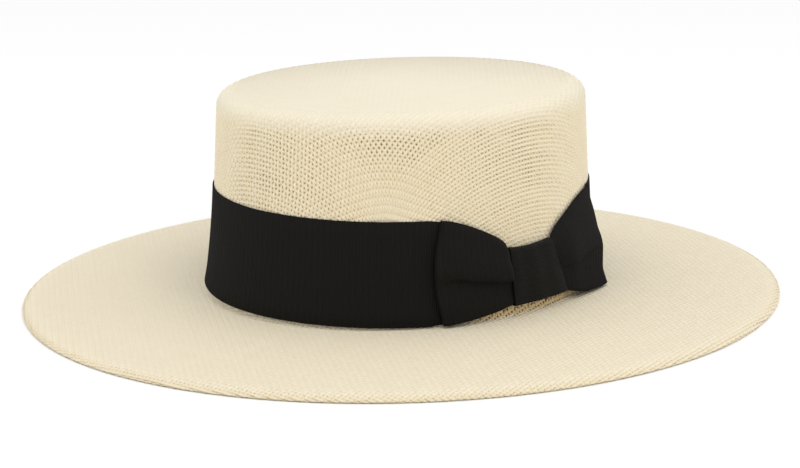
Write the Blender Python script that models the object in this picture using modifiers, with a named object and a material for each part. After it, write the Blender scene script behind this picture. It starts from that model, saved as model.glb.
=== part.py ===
"""Straw boater hat: a flat oval crown, a wide brim with a turned hem, a ribbon band and a flat bow.

Metres, +Z up. The hat's front faces -Y and its bow sits at +X, on the wearer's left.
The origin lies on the surface that the hat rests on, below the middle of the crown.
"""
import math
from collections import namedtuple

import bmesh
import bpy
import numpy as np

# Head opening and straw
HEAD_LENGTH = 0.198         # inside the crown's foot, front to back
HEAD_WIDTH = 0.168          # inside the crown's foot, side to side
STRAW = 0.0012              # wall of woven straw

# Crown
CROWN_HEIGHT = 0.0968       # top of the brim at the head line to the top of the tip
CROWN_LEAN = 0.0048         # how far the wall leans in from its foot to the tip
TIP_EDGE_RADIUS = 0.0080    # rounding between the wall and the tip

# Brim
BRIM_REACH_FRONT = 0.0927   # head line to the brim's edge, at the front and at the back
BRIM_REACH_SIDE = 0.0909    # the same at the two sides
BRIM_FALL = 0.0012          # how far the brim falls from the head line to the hem
HEM_WIDTH = 0.0086          # the straw turned under along the edge
HEM_FALL = 0.0016           # how far the hem itself falls
REST_WIDTH = 0.0020         # flat ring under the hem that the hat rests on
HEAD_LINE_RADIUS = 0.0020   # bend where the brim turns up into its collar
COLLAR_STRAIGHT = 0.0006    # straight part of the collar above that bend, which carries the crown

# Ribbon
RIBBON_WIDTH = 0.0478       # the same ribbon makes the band and the bow's loops
RIBBON = 0.0010             # thickness of the cloth
BAND_LIFT = 0.0012          # the band's lower edge above the brim
BAND_FLARE = 0.0018         # how far the band's lower edge stands off the crown
BAND_TUCK = 0.0012          # the band's edges lie this far inside the loops' edges at the knot
SEAT = 0.0003               # clearance between pieces that lie on each other

# Bow
LOOP_REACH = 0.0590         # middle of the bow to a loop's folded end
LOOP_BOW_OUT = 0.0030       # the folded end bulges this much between its corners
LOOP_PUFF = 0.0034          # how far a loop's front stands off its back
KNOT_WIDTH = 0.0350         # along the band
KNOT_HEIGHT = 0.0262        # the ribbon is gathered to this height
KNOT_FOOT = 0.0062          # the knot's lower edge above the brim

# Fineness of the surfaces
STATION_STEP = 5.0          # degrees between sections round the oval
BOW_STATION_STEP = 2.5      # degrees between the band's sections behind the bow
BEND_STEPS = 2              # sections in a small bend
TIP_EDGE_STEPS = 5          # sections in the rounding of the tip
HEM_NOSE_STEPS = 4          # sections in the round nose of the hem
LOOP_END_STEPS = 4          # sections in a loop's folded end

# Folds of a loop: a row for each line across the ribbon, from its lower edge to its upper edge.
# "across" is a share of the ribbon's gathered width, the other columns are shares of LOOP_PUFF.
Fold = namedtuple("Fold", "across near_knot at_end")
FRONT_FOLDS = (
    Fold(0.00, 0.10, 0.45),
    Fold(0.16, 0.22, 0.80),
    Fold(0.36, 0.10, 0.95),
    Fold(0.43, 0.16, 0.95),
    Fold(0.49, 0.86, 1.00),
    Fold(0.66, 1.00, 0.85),
    Fold(0.84, 0.72, 0.45),
    Fold(1.00, 0.40, 0.10),
)
BACK_FOLDS = (
    Fold(0.00, 0.35, 1.95),
    Fold(0.14, 0.60, 1.15),
    Fold(0.32, 0.80, 1.15),
    Fold(0.44, 0.45, 1.20),
    Fold(0.54, 0.90, 1.05),
    Fold(0.70, 0.95, 0.55),
    Fold(0.86, 0.60, 0.20),
    Fold(1.00, 0.35, 0.05),
)

# The two loops. side is -1 towards the hat's front and 1 towards its back. knot_step is how much
# further out the knot's edge lies at its top, as a share of KNOT_WIDTH. The pulls say how quickly
# the upper and the lower edge draw in towards the knot.
Loop = namedtuple("Loop", "name side knot_step upper_pull lower_pull folds")
FRONT_LOOP = Loop("bow_front_loop", -1, 0.05, 2.4, 2.0, FRONT_FOLDS)
BACK_LOOP = Loop("bow_back_loop", 1, -0.26, 2.3, 3.2, BACK_FOLDS)
BAND_PULL = 1.9             # the same for the band behind them

# Places along a loop's front and back, as shares of the way from the knot's edge to the folded end
FRONT_SHARES = (0.0, 0.03, 0.12, 0.25, 0.42, 0.60, 0.80, 1.0)
UNDER_KNOT_SHARES = (0.0, 0.30, 0.65)
BACK_SHARES = (1.0, 0.80, 0.62, 0.48, 0.38, 0.28, 0.19, 0.10, 0.0)
BAND_SHARES = (0.0, 0.10, 0.35, 0.70, 1.0)
TIP_SHARE = 0.55            # ring of the tip between its edge and its middle
BRIM_SHARES = (0.5, 1.0)
PUFF_RISE = 0.28            # share of the loop's length in which it rises to its full puff
KNOT_CORNER_STEPS = 2       # sections in a rounded corner of the knot's ring
KNOT_COLUMNS = 5            # sections along the knot's width
KNOT_FACE_STEPS = 4         # sections up the knot's front
WAIST_EASE = 0.45           # share of the loop's length in which the band comes back to the crown

# Worked out from the sizes above
HALF_LENGTH = HEAD_LENGTH / 2 + STRAW
HALF_WIDTH = HEAD_WIDTH / 2 + STRAW
HEM_THICKNESS = 2 * STRAW
BRIM_TOP = HEM_THICKNESS + HEM_FALL + BRIM_FALL
CROWN_TOP = BRIM_TOP + CROWN_HEIGHT
FLAT_FRONT = BRIM_REACH_FRONT - HEM_WIDTH
FLAT_SIDE = BRIM_REACH_SIDE - HEM_WIDTH
LAYER = RIBBON + SEAT
KNOT_HALF = KNOT_WIDTH / 2
COLLAR_HEIGHT = HEAD_LINE_RADIUS + COLLAR_STRAIGHT
WAIST_FOOT = KNOT_FOOT + RIBBON + 2 * SEAT
WAIST_TOP = KNOT_FOOT + KNOT_HEIGHT - RIBBON - 2 * SEAT
BAND_TOP = BAND_LIFT + RIBBON_WIDTH
WAIST_HALF = KNOT_HALF + KNOT_WIDTH * max(0.0, FRONT_LOOP.knot_step, BACK_LOOP.knot_step)


def clear_scene():
    """Remove every object that the scene starts with."""
    for thing in list(bpy.data.objects):
        bpy.data.objects.remove(thing, do_unlink=True)


def plain_material(name, colour, roughness):
    """A Principled material of one colour."""
    material = bpy.data.materials.new(name)
    material.use_nodes = True
    shader = material.node_tree.nodes["Principled BSDF"]
    shader.inputs["Base Color"].default_value = (*colour, 1.0)
    shader.inputs["Roughness"].default_value = roughness
    shader.inputs["Metallic"].default_value = 0.0
    return material


def lofted(name, sections, around, collection, material, along=False):
    """A surface through sections of equal point count.

    sections is an array [section, point, xyz]. With around, each section closes on itself;
    with along, the last section joins the first.
    """
    count, points = sections.shape[:2]
    faces = []
    for i in range(count if along else count - 1):
        for j in range(points if around else points - 1):
            a = i * points + j
            b = i * points + (j + 1) % points
            c = ((i + 1) % count) * points + (j + 1) % points
            d = ((i + 1) % count) * points + j
            faces.append((a, b, c, d))
    mesh = bpy.data.meshes.new(name)
    mesh.from_pydata(sections.reshape(-1, 3).tolist(), [], faces)
    mesh.materials.append(material)
    mesh.shade_smooth()
    piece = bpy.data.objects.new(name, mesh)
    collection.objects.link(piece)
    return piece


def thicken(piece, thickness, offset):
    """Give an open surface its wall: offset 1 grows outwards, -1 inwards, 0 both ways."""
    wall = piece.modifiers.new("wall", "SOLIDIFY")
    wall.thickness = thickness
    wall.offset = offset
    wall.use_even_offset = True
    wall.use_quality_normals = True


def oval(angles, side, front, height):
    """Points of an oval: side and front are how far it lies outside the crown's foot."""
    return np.stack([
        (HALF_WIDTH + side) * np.cos(angles),
        (HALF_LENGTH + front) * np.sin(angles),
        np.broadcast_to(height, angles.shape),
    ], axis=-1)


def lean(above_brim):
    """How far the crown's wall has leaned in at a height above the brim."""
    return CROWN_LEAN * above_brim / CROWN_HEIGHT


def on_crown(along, out, above_brim):
    """A point beside the bow: along the band from the bow's middle, and out from the crown's wall."""
    angle = along / HALF_LENGTH
    away = out - lean(above_brim)
    return oval(angle, away, away, BRIM_TOP + above_brim)


def even_stations():
    """Angles of the sections round the oval."""
    return np.radians(np.arange(0.0, 360.0, STATION_STEP))


def crown(collection, material):
    """The wall and the tip: an open surface from foot to middle, thickened inwards."""
    angles = even_stations()
    foot = COLLAR_HEIGHT + SEAT
    shoulder = CROWN_HEIGHT - TIP_EDGE_RADIUS
    rings = [oval(angles, -lean(foot), -lean(foot), BRIM_TOP + foot)]
    for step in range(TIP_EDGE_STEPS + 1):
        turn = math.radians(90) * step / TIP_EDGE_STEPS
        inward = lean(shoulder) + TIP_EDGE_RADIUS * (1 - math.cos(turn))
        rings.append(oval(angles, -inward, -inward, BRIM_TOP + shoulder + TIP_EDGE_RADIUS * math.sin(turn)))
    ring = rings[-1].copy()
    ring[:, :2] *= TIP_SHARE
    rings.append(ring)
    piece = lofted("crown", np.array(rings), True, collection, material)
    close_tip(piece)
    thicken(piece, STRAW, -1)
    return piece


def close_tip(piece):
    """Close the tip's innermost ring with a fan to its middle."""
    shape = bmesh.new()
    shape.from_mesh(piece.data)
    ring = [edge for edge in shape.edges
            if edge.is_boundary and all(vert.co.z > CROWN_TOP - STRAW for vert in edge.verts)]
    middle = shape.verts.new((0.0, 0.0, CROWN_TOP))
    for edge in ring:
        corner = edge.link_loops[0]
        face = shape.faces.new((corner.link_loop_next.vert, corner.vert, middle))
        face.smooth = True
    shape.to_mesh(piece.data)
    shape.free()


def brim_profile():
    """The brim's section, as rows of (share of the flat, extra outwards, height).

    It runs down the collar's outside, out along the top, round the hem's nose and back below.
    """
    bend = [math.radians(90) * step / BEND_STEPS for step in range(BEND_STEPS + 1)]
    radius = HEAD_LINE_RADIUS
    rows = [(0.0, 0.0, BRIM_TOP + COLLAR_HEIGHT)]
    rows += [(0.0, radius * (1 - math.cos(t)), BRIM_TOP + radius * (1 - math.sin(t))) for t in bend]
    rows += [(share, radius * (1 - share), flat_height(share)) for share in BRIM_SHARES]
    nose_centre = HEM_WIDTH - STRAW
    for step in range(HEM_NOSE_STEPS + 1):
        turn = math.radians(90 - 180 * step / HEM_NOSE_STEPS)
        rows.append((1.0, nose_centre + STRAW * math.cos(turn), STRAW + STRAW * math.sin(turn)))
    rows.append((1.0, nose_centre - REST_WIDTH, 0.0))
    rows.append((1.0, 0.0, flat_height(1.0) - HEM_THICKNESS))
    rows.append((1.0, 0.0, flat_height(1.0) - STRAW))
    rows += [(share, radius * (1 - share), flat_height(share) - STRAW) for share in BRIM_SHARES[-2::-1]]
    inner = radius + STRAW
    rows += [(0.0, radius - inner * math.cos(t), BRIM_TOP + radius - inner * math.sin(t)) for t in bend[::-1]]
    rows.append((0.0, -STRAW, BRIM_TOP + COLLAR_HEIGHT))
    return rows


def flat_height(share):
    """Height of the brim's top between the head line (0) and the hem (1)."""
    return BRIM_TOP - BRIM_FALL * share


def brim(collection, material):
    """The brim: its closed section carried round the oval."""
    angles = even_stations()
    rings = [oval(angles, share * FLAT_SIDE + extra, share * FLAT_FRONT + extra, height)
             for share, extra, height in brim_profile()]
    sections = np.array(rings)[::-1]
    return lofted("brim", sections, True, collection, material, along=True)


def loop_share(along):
    """How far a place on the band lies between the knot (0) and a loop's folded end (1)."""
    return np.clip((np.abs(along) - WAIST_HALF) / (LOOP_REACH - WAIST_HALF), 0.0, 1.0)


def knot_edge(loop, across):
    """Middle of the bow to the knot's edge on a loop's side, at a share of the knot's height."""
    return KNOT_HALF + loop.knot_step * KNOT_WIDTH * across


def gathered_edges(share, lower_pull, upper_pull):
    """Lower and upper edge of the ribbon above the brim, drawn in towards the knot."""
    low = BAND_LIFT + (WAIST_FOOT - BAND_LIFT) * (1.0 - share) ** lower_pull
    high = BAND_TOP + (WAIST_TOP - BAND_TOP) * (1.0 - share) ** upper_pull
    return low, high


def bend_out(above_brim):
    """How far the brim's bend stands out from the crown at a height above the brim."""
    below_bend = np.clip(1.0 - above_brim / HEAD_LINE_RADIUS, 0.0, 1.0)
    return HEAD_LINE_RADIUS * (1.0 - np.sqrt(1.0 - below_bend ** 2))


def layer_out(layer, above_brim):
    """Middle of a cloth layer, out from the crown: 0 is the knot's back and 4 the knot's front."""
    flare = BAND_FLARE * (1.0 - np.clip(above_brim / BAND_TOP, 0.0, 1.0)) ** 2
    return SEAT + RIBBON / 2 + layer * LAYER + flare + bend_out(above_brim)


def band_layer(share):
    """The band lies on the crown, and one layer further out where the knot passes behind it."""
    ease = np.clip(1.0 - share / WAIST_EASE, 0.0, 1.0)
    return ease * ease * (3.0 - 2.0 * ease)


def hat_band(collection, material):
    """The ribbon round the crown's foot, gathered to the knot's height behind the bow."""
    reach = math.degrees(LOOP_REACH / HALF_LENGTH)
    bow_steps = math.ceil(reach / BOW_STATION_STEP)
    behind_bow = np.linspace(-reach, reach, 2 * bow_steps + 1)
    rest_steps = math.ceil((360.0 - 2 * reach) / STATION_STEP)
    angles = np.radians(np.concatenate([behind_bow, np.linspace(reach, 360.0 - reach, rest_steps + 1)[1:-1]]))
    turned = (angles + math.pi) % (2 * math.pi) - math.pi
    share = loop_share(turned * HALF_LENGTH)
    low, high = gathered_edges(share, BAND_PULL, BAND_PULL)
    tuck = BAND_TUCK * (1.0 - share)
    rows = []
    for across in BAND_SHARES:
        above = (low + tuck) + across * (high - low - 2 * tuck)
        away = layer_out(band_layer(share), above) - lean(above)
        rows.append(oval(angles, away, away, BRIM_TOP + above))
    piece = lofted("hat_band", np.array(rows), True, collection, material)
    thicken(piece, RIBBON, 0)
    return piece


def puff(share, fold):
    """How far the front of a loop stands off its back, beyond the two layers lying flat."""
    rise = 1.0 - (1.0 - min(share / PUFF_RISE, 1.0)) ** 2
    return LOOP_PUFF * rise * (fold.near_knot + (fold.at_end - fold.near_knot) * share)


def loop_point(loop, share, fold, turn):
    """A point on a loop's ribbon. turn is 90 degrees on its front, -90 on its back."""
    low, high = gathered_edges(share, loop.lower_pull, loop.upper_pull)
    above = low + fold.across * (high - low)
    spread = (LAYER + puff(share, fold)) / 2
    start = knot_edge(loop, fold.across) + RIBBON
    end = LOOP_REACH - LOOP_BOW_OUT * (1.0 - math.sin(math.pi * fold.across)) - spread
    along = start + share * (end - start) + spread * math.cos(turn)
    back = float(layer_out(1.0 + band_layer(loop_share(along)), above))
    return on_crown(np.float64(loop.side * along), back + spread * (1.0 + math.sin(turn)), above)


def under_knot(loop, share, fold, turn):
    """A point of a loop's two flat ends, from the middle of the bow (0) to the knot's edge (1)."""
    above = WAIST_FOOT + fold.across * (WAIST_TOP - WAIST_FOOT)
    out = float(layer_out(2.0, above)) + LAYER / 2 * (1.0 + math.sin(turn))
    along = SEAT + share * (knot_edge(loop, fold.across) - SEAT)
    return on_crown(np.float64(loop.side * along), out, above)


def bow_loop(loop, collection, material):
    """A flat loop: the ribbon runs out from the knot, folds round and comes back behind itself."""
    quarter = math.radians(90)
    path = [(share, quarter) for share in FRONT_SHARES]
    path += [(1.0, quarter - 2 * quarter * step / LOOP_END_STEPS) for step in range(1, LOOP_END_STEPS)]
    path += [(share, -quarter) for share in BACK_SHARES]
    columns = [[loop_point(loop, share, fold, turn) for fold in loop.folds] for share, turn in path]
    front, back = ([[under_knot(loop, share, fold, turn) for fold in loop.folds]
                    for share in UNDER_KNOT_SHARES] for turn in (quarter, -quarter))
    sections = np.array(front + columns + back[::-1])
    piece = lofted(loop.name, sections if loop.side < 0 else sections[::-1], False, collection, material)
    thicken(piece, RIBBON, 0)
    return piece


def bow_knot(collection, material):
    """The short ribbon wrapped round the loops and the band, as a flat ring on the crown."""
    low = KNOT_FOOT + RIBBON / 2
    high = KNOT_FOOT + KNOT_HEIGHT - RIBBON / 2
    corner = RIBBON
    depth = 4 * LAYER
    outline = []
    for middle_out, middle_up, first in (
        (depth - corner, low + corner, -90.0),
        (depth - corner, high - corner, 0.0),
        (corner, high - corner, 90.0),
        (corner, low + corner, 180.0),
    ):
        for step in range(KNOT_CORNER_STEPS + 1):
            turn = math.radians(first + 90.0 * step / KNOT_CORNER_STEPS)
            outline.append((middle_out + corner * math.cos(turn), middle_up + corner * math.sin(turn)))
        if first == -90.0:
            outline += [(depth, low + corner + (high - low - 2 * corner) * step / KNOT_FACE_STEPS)
                        for step in range(1, KNOT_FACE_STEPS)]
    columns = []
    for share in np.linspace(0.0, 1.0, KNOT_COLUMNS):
        column = []
        for out, above in outline:
            across = (above - KNOT_FOOT) / KNOT_HEIGHT
            along = (1.0 - share) * -knot_edge(FRONT_LOOP, across) + share * knot_edge(BACK_LOOP, across)
            column.append(on_crown(along, float(layer_out(0, above)) + out, above))
        columns.append(column)
    piece = lofted("bow_knot", np.array(columns)[::-1], True, collection, material)
    thicken(piece, RIBBON, 0)
    return piece


def build():
    """Make every piece of the hat."""
    clear_scene()
    collection = bpy.data.collections.new("straw_boater_hat")
    bpy.context.scene.collection.children.link(collection)
    straw = plain_material("woven_straw", (0.80, 0.72, 0.53), 0.75)
    ribbon = plain_material("black_ribbon", (0.012, 0.011, 0.010), 0.85)
    crown(collection, straw)
    brim(collection, straw)
    hat_band(collection, ribbon)
    bow_loop(FRONT_LOOP, collection, ribbon)
    bow_loop(BACK_LOOP, collection, ribbon)
    bow_knot(collection, ribbon)


build()
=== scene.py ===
import math
from typing import Callable, NamedTuple

import bpy
import numpy as np
from mathutils import Matrix, Vector


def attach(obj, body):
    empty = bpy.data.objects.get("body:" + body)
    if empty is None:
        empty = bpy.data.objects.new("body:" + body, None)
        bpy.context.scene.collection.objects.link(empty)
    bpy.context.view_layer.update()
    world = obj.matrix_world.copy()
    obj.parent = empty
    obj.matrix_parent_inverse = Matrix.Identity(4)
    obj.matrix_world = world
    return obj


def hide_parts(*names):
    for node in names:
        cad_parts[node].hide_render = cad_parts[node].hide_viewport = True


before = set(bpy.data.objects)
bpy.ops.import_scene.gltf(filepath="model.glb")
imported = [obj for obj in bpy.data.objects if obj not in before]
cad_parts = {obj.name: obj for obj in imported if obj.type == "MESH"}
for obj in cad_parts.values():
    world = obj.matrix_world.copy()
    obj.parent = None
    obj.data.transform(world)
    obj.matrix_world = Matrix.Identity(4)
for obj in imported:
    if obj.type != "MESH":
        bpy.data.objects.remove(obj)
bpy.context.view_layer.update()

# The hat's sizes, in metres, as its solids have them
HALF_LENGTH = 0.1002        # outside of the crown's foot, middle to front
HALF_WIDTH = 0.0852         # outside of the crown's foot, middle to side
STRAW = 0.0012              # wall of the straw solids
CROWN_HEIGHT = 0.0968       # above the brim
CROWN_LEAN = 0.0048         # how far the crown's wall leans in over its height
TIP_EDGE_RADIUS = 0.0080
BRIM_REACH_FRONT = 0.0927   # from the crown's foot to the brim's edge
BRIM_REACH_SIDE = 0.0909
BRIM_FALL = 0.0012          # of the brim's top, from the head line to the hem
HEM_WIDTH = 0.0086
HEM_FALL = 0.0016           # of the brim's top over the hem
REST_WIDTH = 0.0020         # flat ring below the hem that the hat rests on
HEAD_LINE_RADIUS = 0.0020   # of the bend between the brim and its collar
COLLAR_STRAIGHT = 0.0006
RIBBON_WIDTH = 0.0478
BAND_LIFT = 0.0012          # the band's lower edge above the brim
BAND_FLARE = 0.0018         # how far the band stands out at its foot
BAND_TUCK = 0.0012          # how far the band's edges are drawn in behind the bow
SEAT = 0.0003               # clearance between a piece and what it lies on
LOOP_REACH = 0.0590         # from the bow's middle to a loop's end
LOOP_BOW_OUT = 0.0030       # the middle of a loop's end reaches this much past its corners
LOOP_PUFF = 0.0034          # how far a loop's front stands off its back, where its folds say 1
KNOT_WIDTH = 0.0350
KNOT_HEIGHT = 0.0262
KNOT_FOOT = 0.0062          # the knot's lower edge above the brim

BRIM_TOP = 2 * STRAW + HEM_FALL + BRIM_FALL
CROWN_TOP = BRIM_TOP + CROWN_HEIGHT
FLAT_FRONT = BRIM_REACH_FRONT - HEM_WIDTH
FLAT_SIDE = BRIM_REACH_SIDE - HEM_WIDTH
COLLAR_HEIGHT = HEAD_LINE_RADIUS + COLLAR_STRAIGHT
BAND_TOP = BAND_LIFT + RIBBON_WIDTH
KNOT_HALF = KNOT_WIDTH / 2

# The brim is a little uneven: its edge lies off the middle, and away from the bow its bend is softer
BRIM_OFF = (0.0010, 0.0010)
BRIM_SHORTER_FRONT = 0.0012
BRIM_SHORTER_SIDE = 0.0001
SOFT_BEND = 0.0050          # that bend's radius

# Straw sections: rows of points along them
TIP_EDGE_ROWS = 12
WALL_ROWS = 24
BEND_ROWS = 7
TOP_ROWS = 24
HEM_ROWS = 5
NOSE_ROWS = 8
NOSE_START = 66             # degrees above level, where the hem's round nose starts
HEM_END = 0.0006            # the straw turned under ends this far outside the stitches

# The straw's weave
CROWN_PITCHES = (0.00186, 0.00200)  # between the yarns that run front to back, and side to side
BRIM_PITCHES = (0.00212, 0.00212)
CROWN_SPREAD = 0.19         # how far the flat cloth reaches from its middle
BRIM_SPREAD = 0.22
BRIM_TURN = math.radians(10.0)  # the brim's cloth lies turned by this much
YARN_THICKNESS = 0.00062
YARN_RISE = 0.00026         # a yarn's middle above or below the cloth's middle
YARN_SECTION = ((-1.0, -0.45), (0.0, 1.0), (1.0, -0.45))    # corners, in half widths and half thicknesses
FLOAT_SHARE = 0.30          # half of a float's flat top, as a share of the pitch
TIP_YARN_WIDTH = 0.00212    # pressed flat on the tip
WALL_YARN_WIDTH = 0.00150
BRIM_YARN_WIDTH = 0.00194
HEM_YARN_WIDTH = 0.00146    # stretched open on the hem's edge and at the collar below the bow
TIP_RELIEF = 0.05           # share of the yarn's full thickness and rise
WALL_RELIEF = 1.55
BRIM_RELIEF = 0.95
HEM_RELIEF = 0.78
ROW_RELIEF = 0.72           # the same again for yarns that run round the wall instead of down it

# How the crown's weave changes past the tip's flat part, as lengths along the section
ROW_FADE = 0.006            # the rows' own relief comes in over this stretch
PRESS_FADE = 0.011          # the pressing fades over this stretch
GAP_START = 0.0065          # from here on the yarns narrow, which opens the weave
WIDENING_START = 0.035      # from here on they widen again towards the band
WIDENING_FADE = 0.030
LOWER_WALL_WIDENING = 0.08
FOOT_OPEN = 0.009           # and this far above the foot they narrow once more
FOOT_FADE = 0.004
FOOT_NARROWING = 0.20

# Where the brim's weave opens
HEM_OPEN = 0.0024           # over this stretch before the hem's nose
COLLAR_OPEN_END = 0.0120    # and at the collar, up to this length
COLLAR_OPEN_FADE = 0.0080
BELOW_BOW = 0.70            # where the angle's cosine is over this
BELOW_BOW_FADE = 0.20

# How the crown's cloth is draped
NET_SHARE = 0.85            # just past the fold the cloth follows its net by this share
NET_LOSS = 0.65             # and by this much less lower down
NET_FADE_START = 0.030
NET_FADE = 0.050
FRONT_STRETCH = 1.20        # how far blocking stretched the front and back walls downwards
STRETCH_START = 0.012       # depth at which half of that stretch has come in

# Unevenness of the yarns
YARN_WANDER = 0.05          # a yarn's path, in pitches
UNEVEN_WIDTH = 0.12         # a yarn's fullness, as a share
UNEVEN_PATCHES = 0.10       # the same in patches of the cloth
CLOSED_UNEVEN = 0.25        # share of both where the weave is closed
WANDER_PACES = (0.11, 0.27, 0.61)  # radians a pitch
PATCH_WAVES = (0.052, 0.031, 0.019, 0.011, 0.007)
PATCH_SEED = 318

STITCH_STEP = 0.0040
STITCH_LENGTH = 0.0026
STITCH_WIDTH = 0.0006
STITCH_HEIGHT = 0.0004
STITCH_RISE = 0.00008

# The ribbon's cloth
CLOTH = 0.00055
CLOTH_LAYER = 0.00074       # from one layer to the next
RIB_PITCH = 0.00066
RIB_RISE = 0.00006
EDGE_ROUND = 0.00020
SMOOTHING = 15              # places, of 400 across a loop, over which its folds are averaged

# The band
BAND_RISE = (0.0011, -0.0022, -0.0007)  # evenly, towards the bow, towards the back
BAND_LEAST_TILT = -0.0014
BAND_BACK_TUCK = 0.0018     # more tuck behind the back loop
BAND_LOW_TRIM = 0.0002
BAND_HIGH_TRIM = 0.0007
BAND_STAND_OFF = 0.001      # its ribs are spaced on an oval this far outside the crown's foot
BAND_FOOT_WAVE = 0.00012
BAND_TOP_WAVE = 0.0001
BAND_SOFT_FOOT = 0.0010     # how far it follows the brim's softer bend away from the bow
BAND_PULL = 1.9             # power by which its edges are drawn in towards the knot
DIVE = 0.20                 # share of a ribbon's narrowing that comes just beside the knot
DIVE_STRETCH = 0.06
WAIST_EASE = 0.45

# The bow's loops
FRONT_SHORTER = 0.0016      # the front loop is shorter, and its end bows out more
FRONT_BOW_OUT = 0.0038
LOOP_ROWS = 33
FOLD_COLUMNS = 16           # round a loop's end
HIDDEN_COLUMNS = 7          # behind the knot
FOLDS_HOLD = 1.3            # past the share 1 - 1 / this, a fold straightens towards the end
UPPER_PART = 0.40           # from here up, a loop lifts over the second of its rise shares
UPPER_FADE = 0.12
LOOP_END_DROP = 0.0010      # the upper edge at a loop's end
BACK_LAYER_DROP = 0.0034    # the upper edge of the layer behind
EDGE_CURL = 0.0013          # how far a loop's upper edge bends in towards the crown
CURL_START = 0.90
LOOP_PLEAT = 0.00025
LOOP_PLEAT_COUNT = 3.5
LOOP_PLEAT_FADE = 0.22

# The knot
KNOT_LOW = KNOT_FOOT - 0.0010   # it reaches a little below its solid
KNOT_SPARE = 0.0006         # room inside it beyond its layers of ribbon
KNOT_CORNER = 0.0011
KNOT_DIP = 0.0009           # of its upper edge between the loops
KNOT_BULGE = 0.0012
KNOT_PLEAT = 0.0002
KNOT_PLEAT_COUNT = 2.6
WAIST_TOP = KNOT_FOOT + KNOT_HEIGHT - 0.0012    # of the gathered ribbon inside it
WAIST_HALF = KNOT_HALF + KNOT_WIDTH * 0.05

# Edges that turn by more than this stay sharp, which keeps a flat yarn's top flat in the light
SHARP = math.radians(70.0)

# Colours and finish
PALER_STRAW = (0.812, 0.747, 0.599)   # yarns that run front to back
DARKER_STRAW = (0.776, 0.713, 0.573)  # yarns that run side to side
STRAW_DARKEST = (0.96, 0.945, 0.91)   # shares of these in a yarn's darkest and palest places
STRAW_PALEST = (1.02, 1.025, 1.04)
# painted shade: colour the straw is taken towards down its yarns' sides and in the open weave
CREVICE_PAINTED_SHADE = (0.84, 0.72, 0.47, 1)
# painted shade: colour the straw is taken towards in the open collar below the bow
FOOT_PAINTED_SHADE = (0.86, 0.72, 0.48, 1)
STRAW_DRIFT = (90.0, 7.31, 1.0)       # slow changes of tone: for each metre, for each yarn
STRAW_FIBRES = (420.0, 9.0, 1.0)
RIBBON_DARK = (0.0036, 0.0032, 0.0027, 1)
RIBBON_PALE = (0.0098, 0.0087, 0.0072, 1)
RIBBON_LINES = 0.00085                # pitch of the lines in its finish
RIBBON_THREADS = (900.0, 2400.0, 1.0)
FLOOR = (0.93, 0.93, 0.93, 1)

# Soft panels of light: name, place, width, power
PANELS = (
    ("panel_above", (0.85, -0.45, 1.10), 0.9, 4.4),
    ("panel_left", (-1.15, -1.20, 0.40), 0.7, 2.2),
    ("panel_right", (1.28, 0.96, 0.60), 0.8, 0.9),
)

# Photograph's camera
CAMERA_AZIMUTH = math.radians(44.34)
CAMERA_ELEVATION = math.radians(13.64)
CAMERA_ROLL = math.radians(-0.09)
CAMERA_PLACE = (0.6682, -0.6864, 0.2587)
CAMERA_LENS = 90.54


def risen(value, start, stretch):
    """0 up to a start and 1 from a stretch past it, in a straight line between."""
    return np.clip((value - start) / stretch, 0, 1)


def eased(share):
    """A share with a smooth start and end: its square times (3 - twice itself)."""
    return share * share * (3 - 2 * share)


def unit(vectors):
    """Vectors brought to length 1."""
    return vectors / np.maximum(np.linalg.norm(vectors, axis=-1, keepdims=True), 1e-12)


def new_mesh(name, points, faces, maps=()):
    """A mesh from points [n, 3], face arrays [m, corners] and pairs of a map's name and its places."""
    counts = np.concatenate([np.full(len(part), part.shape[1]) for part in faces])
    corners = np.concatenate([part.ravel() for part in faces])
    mesh = bpy.data.meshes.new(name)
    mesh.vertices.add(len(points))
    mesh.vertices.foreach_set("co", points.astype(np.float32).ravel())
    mesh.loops.add(len(corners))
    mesh.loops.foreach_set("vertex_index", corners.astype(np.int32))
    mesh.polygons.add(len(counts))
    mesh.polygons.foreach_set("loop_start", (np.cumsum(counts) - counts).astype(np.int32))
    mesh.update(calc_edges=True)
    for map_name, places in maps:
        mesh.uv_layers.new(name=map_name).data.foreach_set("uv", places.astype(np.float32).ravel())
    mesh.shade_smooth()
    mesh.set_sharp_from_angle(angle=SHARP)
    mesh.validate()
    return mesh


def in_scene(name, data):
    """A new object in the scene."""
    item = bpy.data.objects.new(name, data)
    bpy.context.scene.collection.objects.link(item)
    return item


def new_piece(mesh, material, node):
    """An object of a mesh's name, which rides on the hat's body and stands for a CAD node."""
    mesh.materials.append(material)
    piece = in_scene(mesh.name, mesh)
    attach(piece, "root")
    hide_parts(node)
    return piece


# Straw cloth as a surface

def lean(above_brim):
    """How far the crown's wall has leaned in at a height above the brim."""
    return CROWN_LEAN * above_brim / CROWN_HEIGHT


def arc(start, end, steps):
    """Angles in radians from start to end, in degrees."""
    return np.radians(np.linspace(start, end, steps + 1))


def crown_rows():
    """The crown's outer section: from the tip's middle, round a quarter circle and down the leaning wall.

    Each row is (side, front, height, 0), side and front from the outside of its foot.
    """
    shoulder = CROWN_HEIGHT - TIP_EDGE_RADIUS
    turn = arc(90, 0, TIP_EDGE_ROWS)
    inset = lean(shoulder) + TIP_EDGE_RADIUS * (1 - np.cos(turn))
    height = BRIM_TOP + shoulder + TIP_EDGE_RADIUS * np.sin(turn)
    above = np.linspace(shoulder, COLLAR_HEIGHT + SEAT, WALL_ROWS)[1:]
    rows = np.concatenate([
        [(-HALF_WIDTH, -HALF_LENGTH, CROWN_TOP)],
        np.stack([-inset, -inset, height], 1),
        np.stack([-lean(above), -lean(above), BRIM_TOP + above], 1),
    ])
    return np.pad(rows, ((0, 0), (0, 1)))


def flat_height(share):
    """Height of the brim's top between the head line (0) and the hem (1)."""
    return BRIM_TOP - BRIM_FALL * share


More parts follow.
